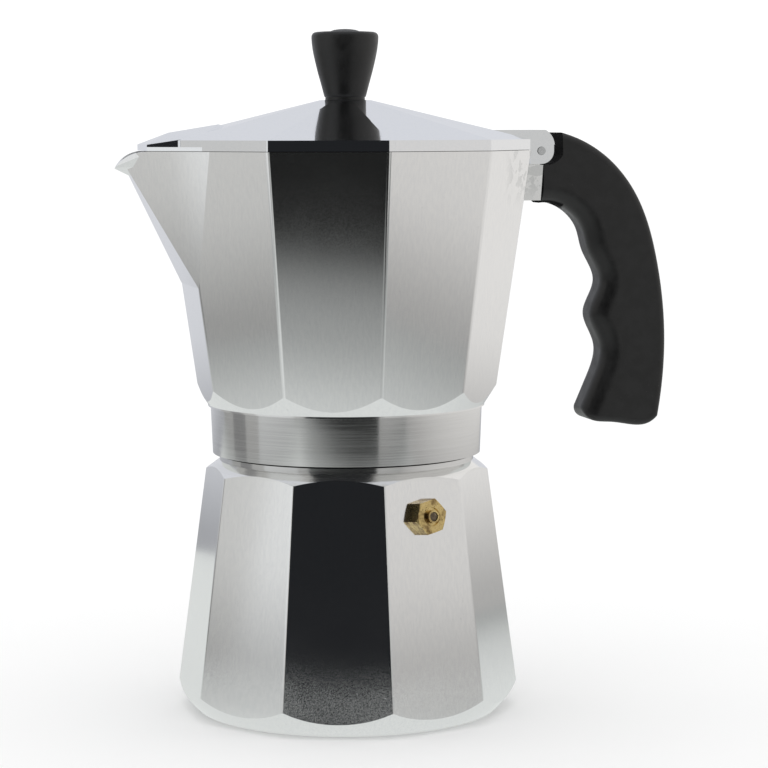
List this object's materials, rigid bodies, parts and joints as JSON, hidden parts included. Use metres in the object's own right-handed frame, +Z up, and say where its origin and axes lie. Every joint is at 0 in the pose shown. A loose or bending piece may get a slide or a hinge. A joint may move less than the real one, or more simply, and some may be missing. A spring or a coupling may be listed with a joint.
{
  "type": "moka pot",
  "caption": "Stove-top moka pot: ten-sided aluminium boiler with safety valve, coffee basket and funnel, screw-on collector with spout, hinged lid, black knob and handle.",
  "frame": {"origin": "centre of the boiler's flat base", "axes": "+Z up along the pot's axis, +X towards the handle, -X towards the spout"},
  "size_m": [0.1733, 0.1144, 0.21],
  "materials": {
    "cast_aluminium": "polished casting with fine brushing",
    "lid_aluminium": "polished",
    "sheet_aluminium": "plain pressed sheet",
    "brass": "turned and bright",
    "valve_steel": "turned",
    "pin_steel": "satin",
    "washer_fibre": "matt fibre",
    "gasket_rubber": "soft matt",
    "black_plastic": "moulded, satin"
  },
  "bodies": {
    "boiler": {"boiler": "cast_aluminium", "safety_valve_body": "brass", "safety_valve_washer": "washer_fibre", "safety_valve_nut": "brass", "coffee_basket": "sheet_aluminium", "basket_sieve": "sheet_aluminium", "funnel_tube": "sheet_aluminium"},
    "valve_plunger": {"safety_valve_plunger": "valve_steel", "safety_valve_spring": "valve_steel"},
    "seal": {"gasket": "gasket_rubber", "filter_plate": "sheet_aluminium"},
    "collector": {"collector": "cast_aluminium", "coffee_column": "cast_aluminium", "column_cap": "sheet_aluminium", "hinge_pin": "pin_steel", "handle": "black_plastic", "handle_screw": "pin_steel"},
    "lid": {"lid": "lid_aluminium", "knob_spacer": "black_plastic", "knob": "black_plastic", "knob_screw": "pin_steel"}
  },
  "joints": [
    {"name": "collector_lift", "type": "slide", "parent": "boiler", "child": "seal", "axis": [0, 0, 1], "range_m": [0, 0.0075]},
    {"name": "collector_turn", "type": "hinge", "parent": "seal", "child": "collector", "pos_m": [0, 0, 0.09], "axis": [0, 0, 1], "range_deg": [0, 900]},
    {"name": "lid_hinge", "type": "hinge", "parent": "collector", "child": "lid", "pos_m": [0.0607, 0, 0.17255], "axis": [0, 1, 0], "range_deg": [0, 90]},
    {"name": "valve_lift", "type": "slide", "parent": "boiler", "child": "valve_plunger", "axis": [0.3376, -0.9325, 0.1284], "range_m": [0, 0.001], "stiffness_N_per_m": 2000, "springref_m": -0.002}
  ],
  "couplings": [
    {"joint": "collector_lift", "follows": "collector_turn", "m_per_rad": 0.00047746}
  ]
}
